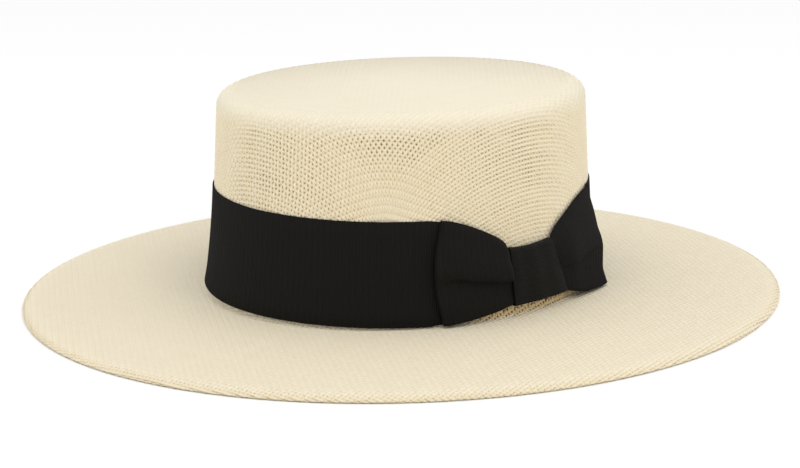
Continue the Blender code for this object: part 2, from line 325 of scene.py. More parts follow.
def brim_rows(radius):
    """The brim's outer section: down the collar, out along the top, round the hem's nose and back below.

    Each row is (side, front, height, share of the brim's offset). The bend at the head line is an arc of the
    given radius, cut off where it reaches the collar's top. Over the hem the top falls by the square of the
    distance from the stitches.
    """
    bend = np.linspace(math.asin(max(0.0, 1 - COLLAR_HEIGHT / radius)), math.pi / 2, BEND_ROWS)
    share = np.linspace(0, 1, TOP_ROWS + 1)[1:]
    nose = arc(NOSE_START, -90, NOSE_ROWS)
    nose_centre = HEM_WIDTH - STRAW
    over_hem = np.linspace(0, 1, HEM_ROWS + 2)[1:-1]
    hem_fall = flat_height(1.0) - STRAW * (1 + math.sin(nose[0]))

    def rows(share_out, extra, height):
        share_out, extra, height = np.broadcast_arrays(share_out, extra, height)
        side = share_out * (FLAT_SIDE - BRIM_SHORTER_SIDE) + extra
        front = share_out * (FLAT_FRONT - BRIM_SHORTER_FRONT) + extra
        return np.stack([side, front, height, share_out], 1)

    return np.concatenate([
        rows(0.0, radius * (1 - np.cos(bend[:1])), BRIM_TOP + COLLAR_HEIGHT + 1e-5),
        rows(0.0, radius * (1 - np.cos(bend)), BRIM_TOP + radius * (1 - np.sin(bend))),
        rows(share, radius * (1 - share), flat_height(share)),
        rows(1.0, over_hem * nose_centre, flat_height(1.0) - hem_fall * over_hem ** 2),
        rows(1.0, nose_centre + STRAW * np.cos(nose), STRAW + STRAW * np.sin(nose)),
        rows(1.0, np.array([nose_centre - REST_WIDTH]), 0.0),
        rows(1.0, np.array([HEM_END]), flat_height(1.0) - 2 * STRAW),
    ])


def section_lengths(rows):
    """Length along a section up to each of its rows."""
    step = np.hypot(np.diff((rows[:, 0] + rows[:, 1]) / 2), np.diff(rows[:, 2]))
    return np.concatenate([[0.0], np.cumsum(step)])


def section_table(rows, length):
    """A section's columns (side, front, height, share of the brim's offset) and its normal (out, up)."""
    out_step = np.diff((rows[:, 0] + rows[:, 1]) / 2)
    up_step = np.diff(rows[:, 2])
    step = np.hypot(out_step, up_step)
    middle = (length[1:] + length[:-1]) / 2
    normal_out = np.interp(length, middle, -up_step / step)
    normal_up = np.interp(length, middle, out_step / step)
    size = np.hypot(normal_out, normal_up)
    return np.stack([*rows.T, normal_out / size, normal_up / size])


class Cloth:
    """Straw cloth carried round the oval: a section measured along its own length from its first row.

    The section may differ between the bow's side and the side away from it, with equal rows. The cloth's
    middle lies half a wall inside the section's line.
    """

    def __init__(self, bow_rows, far_rows):
        self.length = section_lengths((bow_rows + far_rows) / 2)
        self.tables = [section_table(rows, self.length) for rows in (bow_rows, far_rows)]

    def at(self, length, angle):
        """Points of the cloth's middle and its outward normals at (length along the section, angle)."""
        far = (1 - np.cos(angle)) / 2
        bow_side, far_side = ([np.interp(length, self.length, row) for row in rows] for rows in self.tables)
        side, front, height, off, out, up = (a + far * (b - a) for a, b in zip(bow_side, far_side))
        half_x = HALF_WIDTH + side
        half_y = HALF_LENGTH + front
        level = unit(np.stack([np.cos(angle) * np.maximum(half_y, 1e-6),
                               np.sin(angle) * np.maximum(half_x, 1e-6)], -1))
        normal = unit(np.concatenate([out[..., None] * level, up[..., None]], -1))
        x = half_x * np.cos(angle) + off * BRIM_OFF[0]
        y = half_y * np.sin(angle) + off * BRIM_OFF[1]
        return np.stack([x, y, height], -1) - normal * STRAW / 2, normal


crown_cloth = Cloth(crown_rows(), crown_rows())
brim_cloth = Cloth(brim_rows(HEAD_LINE_RADIUS), brim_rows(SOFT_BEND))
TIP_LENGTH = crown_cloth.length[1]
BEND_END = brim_cloth.length[BEND_ROWS]
FLAT_END = brim_cloth.length[BEND_ROWS + TOP_ROWS]
NOSE_LENGTH = brim_cloth.length[BEND_ROWS + TOP_ROWS + HEM_ROWS + 1]

TIP_INSET = lean(CROWN_HEIGHT) + TIP_EDGE_RADIUS
FOLD_LENGTH = TIP_LENGTH + TIP_EDGE_RADIUS * math.pi / 4  # halfway round the tip's edge


def draped(across, along):
    """Where a point of the flat cloth lies on the crown, as (length along the section, angle).

    The oval is brought to a circle. The tip keeps the cloth flat. Past the fold, at radius r, the yarns keep
    their length and turn against each other: with |across| = r cos p and |along| = r sin q the place is
    angle = (p + q) / 2 + (sin 2q - sin 2p) / 4, depth = r (sin q sin q - sin p sin p) / 2,
    and a yarn beyond r runs straight down. Lower down this eases towards the cloth's own polar place.
    """
    r = FOLD_LENGTH
    x = across * TIP_LENGTH / (HALF_WIDTH - TIP_INSET)
    y = along * TIP_LENGTH / (HALF_LENGTH - TIP_INSET)
    far = np.hypot(x, y)
    turn = np.arctan2(np.abs(y), np.abs(x))
    p = np.arccos(np.clip(np.abs(x) / r, 0, 1))
    q = np.arcsin(np.clip(np.abs(y) / r, 0, 1))
    net_turn = (p + q) / 2 + (np.sin(2 * q) - np.sin(2 * p)) / 4
    net_depth = r * (np.sin(q) ** 2 - np.sin(p) ** 2) / 2
    net_depth = net_depth + np.maximum(np.abs(x) - r, 0) + np.maximum(np.abs(y) - r, 0)
    depth = np.maximum(far - r, 0)
    share = np.where(far > r, NET_SHARE - NET_LOSS * risen(depth, NET_FADE_START, NET_FADE), 0.0)
    turn = turn + share * (net_turn - turn)
    depth = depth + share * (net_depth - depth)
    stretch = (FRONT_STRETCH - 1) * np.sin(turn) ** 2
    depth = depth + stretch * depth ** 2 / (depth + STRETCH_START)
    length = np.where(far > r, r + depth, far)
    turn = np.where(x < 0, math.pi - turn, turn)
    return length, np.where(y < 0, -turn, turn)


def laid_flat(across, along):
    """Where a point of the brim's flat cloth lies, as (length along the section, angle).

    The brim's rings are ovals with half axes that grow by a share of the brim's reach. The share for a point
    is found by Newton steps on (x / half axis x) squared + (y / half axis y) squared = 1.
    """
    x = across * math.cos(BRIM_TURN) - along * math.sin(BRIM_TURN)
    y = across * math.sin(BRIM_TURN) + along * math.cos(BRIM_TURN)
    reach_side = BRIM_REACH_SIDE - BRIM_SHORTER_SIDE
    reach_front = BRIM_REACH_FRONT - BRIM_SHORTER_FRONT
    share = np.full_like(x, 0.5)
    for _ in range(12):
        a = HALF_WIDTH + share * reach_side
        b = HALF_LENGTH + share * reach_front
        right = x - share * BRIM_OFF[0]
        back = y - share * BRIM_OFF[1]
        miss = (right / a) ** 2 + (back / b) ** 2 - 1
        slope = -2 * (right ** 2 * reach_side / a ** 3 + back ** 2 * reach_front / b ** 3)
        slope -= 2 * (right * BRIM_OFF[0] / a ** 2 + back * BRIM_OFF[1] / b ** 2)
        share = np.clip(share - miss / np.minimum(slope, -1e-6), -0.5, 1.6)
    out = share * (reach_side + reach_front) / 2
    return BEND_END - (HEAD_LINE_RADIUS + SOFT_BEND) / 2 + out, np.arctan2(back / b, right / a)


# Yarns

def crown_press(length, _angle):
    """A yarn's width and relief at a place of the crown, and how open the weave is, 0 to 1.

    It is pressed wide and flat on the tip, and rounder and narrower on the wall, by eased steps.
    """
    past_tip = length - TIP_LENGTH
    wall = eased(risen(past_tip, 0, PRESS_FADE))
    gap = eased(risen(past_tip, GAP_START, PRESS_FADE))
    lower = 1 + LOWER_WALL_WIDENING * risen(past_tip, WIDENING_START, WIDENING_FADE)
    lower = lower - FOOT_NARROWING * risen(length, crown_cloth.length[-1] - FOOT_OPEN, FOOT_FADE)
    width = TIP_YARN_WIDTH + (WALL_YARN_WIDTH * lower - TIP_YARN_WIDTH) * gap
    return width, TIP_RELIEF + (WALL_RELIEF - TIP_RELIEF) * wall, gap


def brim_press(length, angle):
    """The same on the brim: pressed nearly flat and closed, but open over the hem and below the bow."""
    collar = risen(np.cos(angle), BELOW_BOW, BELOW_BOW_FADE)
    collar = collar * np.clip((COLLAR_OPEN_END - length) / COLLAR_OPEN_FADE, 0, 1)
    gap = np.clip(np.maximum(1 + (length - NOSE_LENGTH) / HEM_OPEN, collar), 0, 1)
    width = BRIM_YARN_WIDTH + (HEM_YARN_WIDTH - BRIM_YARN_WIDTH) * gap
    return width, BRIM_RELIEF + (HEM_RELIEF - BRIM_RELIEF) * gap, gap


class Weave(NamedTuple):
    """A straw piece's plain weave: its cloth, how flat cloth is laid on it, and how it is pressed."""
    node: str
    cloth: Cloth
    lay: Callable
    press: Callable
    pitches: tuple
    spread: float
    seed: int
    halves: tuple


WEAVES = (
    Weave("crown", crown_cloth, draped, crown_press, CROWN_PITCHES, CROWN_SPREAD, 11, ("left", "right")),
    Weave("brim", brim_cloth, laid_flat, brim_press, BRIM_PITCHES, BRIM_SPREAD, 13, (None,)),
)


def float_places(count, first):
    """Places along a yarn in pitches, and their rise: a float's two shoulders, then the dip under a yarn."""
    starts = np.arange(-count, count + 1, 2)[:, None] + first
    places = starts + np.array([-FLOAT_SHARE, FLOAT_SHARE, 1.0])
    rise = np.broadcast_to(np.array([1.0, 1.0, -1.0]), places.shape)
    return places.ravel(), rise.ravel()


def wander(seed, size, along, reach):
    """A smooth uneven number for each yarn and place: a sum of sines whose phases are seeded."""
    chance = np.random.default_rng(seed)
    phase = chance.uniform(0, 2 * math.pi, (3, size, 1))
    pace = np.array(WANDER_PACES)[:, None, None] * chance.uniform(0.8, 1.25, (3, size, 1))
    return reach * np.sin(pace * along + phase).mean(axis=0)


def openness(across, along):
    """A smooth uneven number over the cloth, about -1 to 1: a sum of waves in seeded directions over 3.2."""
    chance = np.random.default_rng(PATCH_SEED)
    total = np.zeros_like(across)
    for wavelength in PATCH_WAVES:
        turn, phase = chance.uniform(0, 2 * math.pi, 2)
        way = across * math.cos(turn) + along * math.sin(turn)
        total += np.sin(2 * math.pi * way / wavelength + phase)
    return total / 3.2


def yarn_mesh(name, weave, crosswise, half):
    """One family of yarns of a plain weave, or its left or right half, each a closed three-sided tube.

    A yarn's middle is the cloth's middle + normal * rise. Its corners stand off by YARN_SECTION times half
    its width along the cloth and half its thickness along the normal.
    """
    cloth = weave.cloth
    own, other = (1, 0) if crosswise else (0, 1)
    own_count, other_count = (int(weave.spread / weave.pitches[k]) for k in (own, other))
    yarns = np.arange(-own_count, own_count + 1)
    even, odd = (float_places(other_count, first) for first in (0, 1))
    is_even = ((yarns + crosswise) % 2 == 0)[:, None]
    places = np.where(is_even, even[0], odd[0])
    rise = np.where(is_even, even[1], odd[1])
    seed = weave.seed + crosswise
    across = (yarns[:, None] + 0.5 + wander(seed, len(yarns), places, YARN_WANDER)) * weave.pitches[own]
    along = (places + 0.5) * weave.pitches[other]
    length, angle = weave.lay(along, across) if crosswise else weave.lay(across, along)
    inside = (length >= 0) & (length <= cloth.length[-1])
    if half:
        inside &= ((yarns >= 0) == (half == "left"))[:, None]
    points, normal = cloth.at(np.clip(length, 0, cloth.length[-1]), angle)
    tangent = np.gradient(points, axis=1)
    side = unit(np.cross(normal, tangent))
    width, relief, gap = weave.press(length, angle)
    if cloth is crown_cloth:
        down = np.abs(np.gradient(length, axis=1)) / np.maximum(np.linalg.norm(tangent, axis=-1), 1e-9)
        level = np.clip(1 - down, 0, 1)
        relief = relief * (1 - (1 - ROW_RELIEF) * level * risen(length, TIP_LENGTH, ROW_FADE))
    uneven = wander(seed + 1, len(yarns), places, UNEVEN_WIDTH) - UNEVEN_PATCHES * openness(across, along)
    fullness = 1 + uneven * (CLOSED_UNEVEN + (1 - CLOSED_UNEVEN) * gap)
    middle = points + normal * (rise * YARN_RISE * relief)[..., None]
    half_width = (width / 2 * fullness)[..., None] * side
    half_height = (YARN_THICKNESS / 2 * relief * fullness)[..., None] * normal
    ring = np.stack([middle + out * half_width + up * half_height for out, up in YARN_SECTION], axis=2)
    return tubes(name, ring, inside, along)


def corner_map(u0, u1, v0, v1):
    """Map places of the four corners of each face, from its two ends along a yarn and two sides round it."""
    u0, u1, v0, v1 = np.broadcast_arrays(u0, u1, v0, v1)
    return np.stack([u0, v0, u0, v1, u1, v1, u1, v0], -1).reshape(-1, 4, 2)


def tubes(name, ring, inside, along):
    """Closed tubes from rings [yarn, place, corner, xyz], kept where either end of a stretch is inside.

    Map "yarn" holds (length along a yarn, yarn's number + share round it), and "OFBake" lays all faces apart
    in a square. A tube's ends are closed by fans.
    """
    yarns, places, corners = ring.shape[:3]
    kept = inside[:, 1:] | inside[:, :-1]
    yarn, place = np.nonzero(kept)
    here = (yarn * places + place) * corners
    after = here + corners
    k = np.arange(corners)[:, None]
    n = (k + 1) % corners
    faces = np.stack([here + k, here + n, after + n, after + k], -1)
    v0, v1 = yarn + k / corners, yarn + (k + 1) / corners
    spread = corner_map(along[yarn, place], along[yarn, place + 1], v0, v1)
    baked = corner_map(place / places, (place + 1) / places, v0 / yarns, v1 / yarns)
    padded = np.pad(kept, ((0, 0), (1, 1)))
    first = np.nonzero(padded[:, 1:-1] & ~padded[:, :-2])
    last = np.nonzero(padded[:, 1:-1] & ~padded[:, 2:])
    start = (first[0] * places + first[1]) * corners
    end = (last[0] * places + last[1] + 1) * corners
    fan = np.stack([np.zeros(corners - 2, int), np.arange(1, corners - 1), np.arange(2, corners)], 1)
    caps = np.concatenate([start[:, None, None] + fan[:, ::-1], end[:, None, None] + fan]).reshape(-1, 3)
    used, index = np.unique(np.concatenate([faces.ravel(), caps.ravel()]), return_inverse=True)
    quads = index[:faces.size].reshape(-1, 4)
    caps = index[faces.size:].reshape(-1, 3)
    triangles = np.concatenate([quads[:, [0, 1, 2]], quads[:, [0, 2, 3]]])
    cap_map = np.zeros((len(caps), 3, 2))
    all_maps = []
    for map_name, values in (("yarn", spread), ("OFBake", baked)):
        values = np.concatenate([values[:, [0, 1, 2]], values[:, [0, 2, 3]], cap_map])
        all_maps.append((map_name, values.reshape(-1, 2)))
    return new_mesh(name, ring.reshape(-1, 3)[used], [triangles, caps], all_maps)


def hem_stitches():
    """The hem's stitches as one mesh: flattened ovals of thread that lie end to end round the brim.

    Each stitch is a closed six-sided spindle: its section shrinks by the root of one minus the square of the
    place along it, which runs from -1 to 1.
    """
    angle = np.linspace(0, 2 * math.pi, 4001)
    points, _ = brim_cloth.at(np.full_like(angle, FLAT_END), angle)
    distance = np.concatenate([[0.0], np.cumsum(np.linalg.norm(np.diff(points, axis=0), axis=1))])
    count = int(distance[-1] / STITCH_STEP)
    along = np.array([-1.0, -0.8, 0.0, 0.8, 1.0])
    corner = np.arange(6) * math.pi / 3
    size = np.sqrt(np.maximum(1 - along ** 2, 0.04))
    place = (np.arange(count)[:, None] + 0.5) * distance[-1] / count + along * STITCH_LENGTH / 2
    stitch_angle = np.interp(place, distance, angle)
    centre, normal = brim_cloth.at(np.full_like(stitch_angle, FLAT_END), stitch_angle)
    centre = centre + normal * STITCH_RISE
    side = unit(np.cross(normal, np.gradient(centre, axis=1)))
    out = (size[:, None] * np.cos(corner) * STITCH_WIDTH / 2)[None, ..., None]
    up = (size[:, None] * np.sin(corner) * STITCH_HEIGHT / 2)[None, ..., None]
    ring = centre[:, :, None] + side[:, :, None] * out + normal[:, :, None] * up
    return tubes("hem_stitches", ring, np.ones((count, len(along)), bool), place)


# Ribbon

class Loop(NamedTuple):
    """A loop's sizes. Its folds are rows of (share across, height, stand-off near the knot, at the end)."""
    side: int               # -1 towards the front of the hat, 1 towards the back
    knot_step: float        # the knot's edge slants by this share of its width over its height
    upper_pull: float       # powers by which the edges are drawn in towards the knot
    lower_pull: float
    reach: float
    bow_out: float
    rise: tuple             # shares of the loop over which its lower and upper part lift off
    folds: tuple


FRONT_LOOP = Loop(-1, 0.05, 1.4, 1.5, LOOP_REACH - FRONT_SHORTER, FRONT_BOW_OUT, (0.50, 0.10), (
    (0.00, 0.00, 0.25, 0.45),
    (0.14, 0.16, 0.25, 0.66),
    (0.28, 0.38, 0.08, 0.62),
    (0.38, 0.58, 0.00, 0.58),
    (0.47, 0.40, 1.45, 1.05),
    (0.54, 0.46, 1.85, 1.20),
    (0.68, 0.64, 1.65, 0.95),
    (0.84, 0.83, 0.90, 0.45),
    (1.00, 1.00, 0.40, 0.10),
))
BACK_LOOP = Loop(1, -0.26, 1.7, 3.0, LOOP_REACH, LOOP_BOW_OUT, (0.28, 0.28), (
    (0.00, 0.00, 0.30, 2.00),
    (0.14, 0.14, 0.45, 1.42),
    (0.30, 0.34, 0.30, 1.58),
    (0.38, 0.46, 0.20, 1.66),
    (0.46, 0.40, 1.30, 1.50),
    (0.56, 0.54, 1.40, 1.02),
    (0.74, 0.74, 1.00, 0.60),
    (0.88, 0.88, 0.45, 0.14),
    (1.00, 1.00, 0.08, 0.00),
))


def beside_bow(along, out, above):
    """Points at distances along the band from the bow's middle, out from the crown and above the brim."""
    angle, away, above = np.broadcast_arrays(along / HALF_LENGTH, out - lean(above), above)
    x = (HALF_WIDTH + away) * np.cos(angle)
    y = (HALF_LENGTH + away) * np.sin(angle)
    return np.stack([x, y, BRIM_TOP + above], -1)


def cloth_out(layer, above):
    """Middle of a layer of ribbon, out from the crown's wall: it flares and follows the brim's bend."""
    flare = BAND_FLARE * (1 - np.clip(above / BAND_TOP, 0, 1)) ** 2
    below = np.clip(1 - above / HEAD_LINE_RADIUS, 0, 1)
    bend = HEAD_LINE_RADIUS * (1 - np.sqrt(1 - below ** 2))
    return SEAT + CLOTH / 2 + layer * CLOTH_LAYER + flare + bend


def gathered(share, lower_pull, upper_pull):
    """Lower and upper edge above the brim, drawn in towards the knot by powers of the share that is left."""
    dive = DIVE * np.exp(-share / DIVE_STRETCH)
    low = BAND_LIFT + (KNOT_FOOT - BAND_LIFT) * (1 - share) ** lower_pull
    high = BAND_TOP + (WAIST_TOP - BAND_TOP) * ((1 - DIVE) * (1 - share) ** upper_pull + dive)
    return low, high


def band_layer(share):
    """0 where the band lies on the crown, rising smoothly to 1 behind the knot."""
    return eased(np.clip(1 - share / WAIST_EASE, 0, 1))


def smoothed(places, folds, column):
    """A column of a loop's folds as a smooth curve: straight lines averaged over a short stretch."""
    table = np.array(folds)
    fine = np.linspace(-0.1, 1.1, 481)
    line = np.pad(np.interp(fine, table[:, 0], table[:, column]), SMOOTHING // 2, "edge")
    window = np.hanning(SMOOTHING)
    return np.interp(places, fine, np.convolve(line, window / window.sum(), "valid"))


def rib_crests(count):
    """1 at a rib's crest and -1 in the groove after it, in turn."""
    return 1.0 - 2.0 * (np.arange(count) % 2)


def ribbon_mesh(name, middle, crest, closed, along, across):
    """A ribbed ribbon as a closed skin round its middle surface [place along, place across, xyz].

    Its skin lies half the cloth and the rib's rise times crest to either side along the normal. Each edge is
    closed through a line that stands out along the surface, a little further at a rib's crest.
    """
    step = np.roll(middle, -1, 0) - np.roll(middle, 1, 0) if closed else np.gradient(middle, axis=0)
    cross = np.gradient(middle, axis=1)
    normal = unit(np.cross(step, cross))
    cross = unit(cross)
    lift = (CLOTH / 2 + RIB_RISE * crest)[:, None, None] * normal
    selvedge = (EDGE_ROUND + RIB_RISE * crest)[:, None]
    low = middle[:, 0] - cross[:, 0] * selvedge
    high = middle[:, -1] + cross[:, -1] * selvedge
    skin = np.concatenate([middle + lift, high[:, None], (middle - lift)[:, ::-1], low[:, None]], axis=1)
    columns, ring = skin.shape[:2]
    i = np.arange(columns if closed else columns - 1)[:, None]
    k = np.arange(ring)[None, :]
    after = (i + 1) % columns
    beside = (k + 1) % ring
    quads = np.stack([i * ring + k, after * ring + k, after * ring + beside, i * ring + beside], -1)
    width = np.concatenate([across, across[-1:], across[::-1], across[:1]])
    length = np.append(along, along[-1] + (along[1] - along[0]))
    u = np.stack(np.broadcast_arrays(length[i], length[i + 1], length[i + 1], length[i]), -1)
    v = np.stack(np.broadcast_arrays(width[k], width[k], width[beside], width[beside]), -1)
    u, v = np.broadcast_arrays(u, v)
    faces = [quads.reshape(-1, 4)]
    maps = [np.stack([u, v], -1).reshape(-1, 2)]
    if not closed:
        rows = middle.shape[1]
        j = np.arange(rows - 1)
        first = np.stack([j, j + 1, ring - 3 - j, ring - 2 - j], 1)
        tips = np.array([(rows - 1, rows, rows + 1), (0, ring - 2, ring - 1)])
        last = (columns - 1) * ring
        faces += [first, last + first[:, ::-1], tips, last + tips[:, ::-1]]
        maps += [np.zeros((len(first) * 8 + len(tips) * 6, 2))]
    return new_mesh(name, skin.reshape(-1, 3), faces, [("ribbon", np.concatenate(maps))])


def hat_band():
    """The band: even ribs round the oval, gathered behind the bow, tilted as a whole a little off level.

    The ribs are spaced by the oval's length, summed in fine steps of the angle. The edges have slow waves.
    """
    fine = np.linspace(-math.pi, math.pi, 7201)
    half_x, half_y = HALF_WIDTH + BAND_STAND_OFF, HALF_LENGTH + BAND_STAND_OFF
    step = np.hypot(half_x * np.sin(fine), half_y * np.cos(fine))
    distance = np.concatenate([[0.0], np.cumsum((step[1:] + step[:-1]) / 2 * (fine[1] - fine[0]))])
    ribs = int(round(distance[-1] / RIB_PITCH))
    along = np.arange(2 * ribs) * distance[-1] / (2 * ribs)
    angle = np.interp(along, distance, fine)
    share = risen(np.abs(angle * HALF_LENGTH), WAIST_HALF, LOOP_REACH - WAIST_HALF)
    low, high = gathered(share, BAND_PULL, BAND_PULL)
    tuck = (BAND_TUCK + BAND_BACK_TUCK * (angle > 0)) * np.sqrt(1 - share)
    even, to_bow, to_back = BAND_RISE
    tilt = share * (even + np.maximum(to_bow * np.cos(angle) + to_back * np.sin(angle), BAND_LEAST_TILT))
    low = (low + tuck + tilt - BAND_LOW_TRIM)[:, None]
    high = (high - tuck + tilt - BAND_HIGH_TRIM)[:, None]
    across = np.linspace(0, 1, 9)[None, :]
    above = low + across * (high - low)
    angle, tilt = angle[:, None], tilt[:, None]
    wave = BAND_FOOT_WAVE * np.sin(7 * angle + 1.0) * (1 - across)
    wave = wave + BAND_TOP_WAVE * np.sin(11 * angle) * across
    soft = BAND_SOFT_FOOT * (1 - across) ** 2 * (1 - np.cos(angle)) / 2
    out = cloth_out(band_layer(share)[:, None], above - tilt) + wave + soft
    middle = beside_bow(angle * HALF_LENGTH, out, above)
    return ribbon_mesh("ribbon_band", middle, rib_crests(len(along)), True, along, across[0] * RIBBON_WIDTH)


def knot_edge(loop, across):
    """Bow's middle to the knot's edge on a loop's side, at a share of the knot's height."""
    return KNOT_HALF + loop.knot_step * KNOT_WIDTH * across


def loop_heights(loop, share, rows, behind_front):
    """Heights above the brim over a loop: its folds' heights between its edges, straight towards its end."""
    low, high = gathered(share, loop.lower_pull, loop.upper_pull)
    high = high - LOOP_END_DROP * share
    high = high - BACK_LAYER_DROP * behind_front * np.sin(math.pi * np.clip(share, 0, 1)) ** 0.5
    fade = np.clip(FOLDS_HOLD * (1 - share), 0, 1)
    height = rows + (smoothed(rows, loop.folds, 1) - rows) * fade
    return low + height * (high - low)


def loop_puff(loop, share, rows):
    """How far a loop's front stands off its back: its folds' stand-off, lifting by a square by the knot."""
    near = smoothed(rows, loop.folds, 2)
    end = smoothed(rows, loop.folds, 3)
    rise_share = loop.rise[0] + (loop.rise[1] - loop.rise[0]) * risen(rows, UPPER_PART, UPPER_FADE)
    rise = 1 - (1 - np.minimum(share / rise_share, 1)) ** 2
    pleats = np.exp(-share / LOOP_PLEAT_FADE) * np.sin(2 * math.pi * (LOOP_PLEAT_COUNT * rows + 0.1))
    return LOOP_PUFF * rise * (near + (end - near) * share) + LOOP_PLEAT * pleats


def bow_loop(name, loop):
    """A flat loop: its ribbon runs out from the knot, folds round its end and comes back behind itself.

    Along the path, share goes 0 to 1 on the front, stays 1 while turn goes 90 to -90 degrees round the
    fold, and goes back to 0 behind. The front stands off the back by the puff. Flat stubs lie in the knot.
    """
    straight = int((loop.reach - KNOT_HALF) / RIB_PITCH) * 2
    fold = np.linspace(90, -90, FOLD_COLUMNS + 2)[1:-1]
    share = np.concatenate([np.linspace(0, 1, straight), np.ones(FOLD_COLUMNS), np.linspace(1, 0, straight)])
    share = share[:, None]
    turn = np.radians(np.concatenate([np.full(straight, 90.0), fold, np.full(straight, -90.0)]))[:, None]
    behind_front = (1 - np.sin(turn)) / 2
    rows = np.linspace(0, 1, LOOP_ROWS)[None, :]
    above = loop_heights(loop, share, rows, behind_front)
    spread = (CLOTH_LAYER + loop_puff(loop, share, rows)) / 2
    start = knot_edge(loop, rows)
    tip = loop.reach - loop.bow_out * (1 - np.sin(math.pi * rows)) - spread
    along = start + share * (tip - start) + spread * np.cos(turn)
    behind = risen(np.abs(along), WAIST_HALF, LOOP_REACH - WAIST_HALF)
    curl = EDGE_CURL * risen(rows, CURL_START, 1 - CURL_START) ** 2 * np.sin(math.pi * share ** 0.6) ** 0.5
    out = cloth_out(1 + band_layer(behind), above) + spread * (1 + np.sin(turn)) - curl * (1 - behind_front)
    flat = KNOT_FOOT + rows * (WAIST_TOP - KNOT_FOOT)
    place = SEAT + np.linspace(0, 1, HIDDEN_COLUMNS + 1)[:-1, None] * (start - SEAT)
    inner = cloth_out(2, flat)
    front, back = (beside_bow(loop.side * place, inner + CLOTH_LAYER * layer, flat) for layer in (1, 0))
    middle = np.concatenate([front, beside_bow(loop.side * along, out, above), back[::-1]])
    hidden = np.zeros(HIDDEN_COLUMNS)
    crest = np.concatenate([hidden, rib_crests(len(share)), hidden])
    if loop.side > 0:
        middle = middle[::-1]
        crest = crest[::-1]
    distance = np.arange(len(middle)) * RIB_PITCH / 2
    return ribbon_mesh(name, middle[:, ::-1], crest, False, distance, rows[0] * RIBBON_WIDTH)


def bow_knot():
    """The short ribbon round the bow's middle: a rounded flat ring, its front full and softly pleated.

    The ring's outline is a rounded rectangle (out, above); its front bulges by a sine across the height.
    """
    low = KNOT_LOW + CLOTH / 2
    high = KNOT_FOOT + KNOT_HEIGHT - CLOTH / 2
    depth = 4 * CLOTH_LAYER + KNOT_SPARE
    near, far = KNOT_CORNER, depth - KNOT_CORNER
    bottom, top = low + KNOT_CORNER, high - KNOT_CORNER
    corners = []
    for x, y, first in ((far, bottom, -90), (far, top, 0), (near, top, 90), (near, bottom, 180)):
        turn = arc(first, first + 90, 6)
        corners.append(np.stack([x + KNOT_CORNER * np.cos(turn), y + KNOT_CORNER * np.sin(turn)], 1))
    steps = int((high - low) / RIB_PITCH) * 2
    share = np.linspace(0, 1, steps)[1:-1, None]
    front = corners[0][-1] + share * (corners[1][0] - corners[0][-1])
    back = corners[2][-1] + share[::4] * (corners[3][0] - corners[2][-1])
    outline = np.concatenate([corners[0], front, corners[1], corners[2], back, corners[3]])
    if len(outline) % 2:
        outline = outline[:-1]
    out, above = outline[:, :1], outline[:, 1:]
    rows = np.linspace(0, 1, 41)[None, :]
    across = (above - KNOT_FOOT) / KNOT_HEIGHT
    above = above - KNOT_DIP * np.clip(across, 0, 1) ** 2 * np.sin(math.pi * rows ** 0.8)
    along = (1 - rows) * -knot_edge(FRONT_LOOP, across) + rows * knot_edge(BACK_LOOP, across)
    outer = np.clip(out / depth, 0, 1) ** 2
    bulge = KNOT_BULGE * np.sin(math.pi * np.clip(across, 0, 1)) * np.sin(math.pi * rows) ** 0.7
    pleats = KNOT_PLEAT * np.sin(2 * math.pi * KNOT_PLEAT_COUNT * rows + 0.6)
    out = out + outer * (bulge + pleats)
    middle = beside_bow(along, cloth_out(0, above) + out, above)
    length = np.arange(len(outline)) * RIB_PITCH / 2
    crest = rib_crests(len(outline)) / 2
    return ribbon_mesh("ribbon_knot", middle[:, ::-1], crest, True, length, rows[0] * KNOT_WIDTH)


# Materials

def node_tree(name):
    """A new material, its nodes and its Principled shader."""
    material = bpy.data.materials.new(name)
    material.use_nodes = True
    tree = material.node_tree
    return material, tree, tree.nodes["Principled BSDF"]


def add(tree, kind, settings=(), **sockets):
    """A node with its settings, its sockets set to a value or linked to an output. i3 is socket number 3."""
    item = tree.nodes.new(kind)
    for key, value in dict(settings).items():
        setattr(item, key, value)
    for key, value in sockets.items():
        socket = item.inputs[int(key[1:])] if key[0] == "i" and key[1:].isdigit() else item.inputs[key]
        if isinstance(value, bpy.types.NodeSocket):
            tree.links.new(value, socket)
        else:
            socket.default_value = value
    return item


def worked(tree, operation, *values):
    """The result of a Math node."""
    sockets = {f"i{number}": value for number, value in enumerate(values)}
    return add(tree, "ShaderNodeMath", {"operation": operation}, **sockets).outputs[0]


def ranged(tree, value, low=0.0, high=1.0, to_low=0.0, to_high=1.0, kind="LINEAR"):
    """A value taken from low and high to two others, and held between them."""
    sockets = {"i0": value, "i1": low, "i2": high, "i3": to_low, "i4": to_high}
    return add(tree, "ShaderNodeMapRange", {"interpolation_type": kind}, **sockets).outputs["Result"]


def mixed(tree, factor, first, second, kind="MIX"):
    """Two colours mixed by a factor."""
    settings = {"data_type": "RGBA", "blend_type": kind}
    return add(tree, "ShaderNodeMix", settings, Factor=factor, i6=first, i7=second).outputs[2]


def noise(tree, vector, scale, detail):
    """Noise on a vector, scaled on each of its axes."""
    scaled = add(tree, "ShaderNodeVectorMath", {"operation": "MULTIPLY"}, i0=vector, i1=scale)
    return add(tree, "ShaderNodeTexNoise", Vector=scaled.outputs[0], Scale=1.0, Detail=detail).outputs["Fac"]


def bumped(tree, height, strength, distance):
    """A normal from a height."""
    return add(tree, "ShaderNodeBump", Height=height, Strength=strength, Distance=distance).outputs["Normal"]


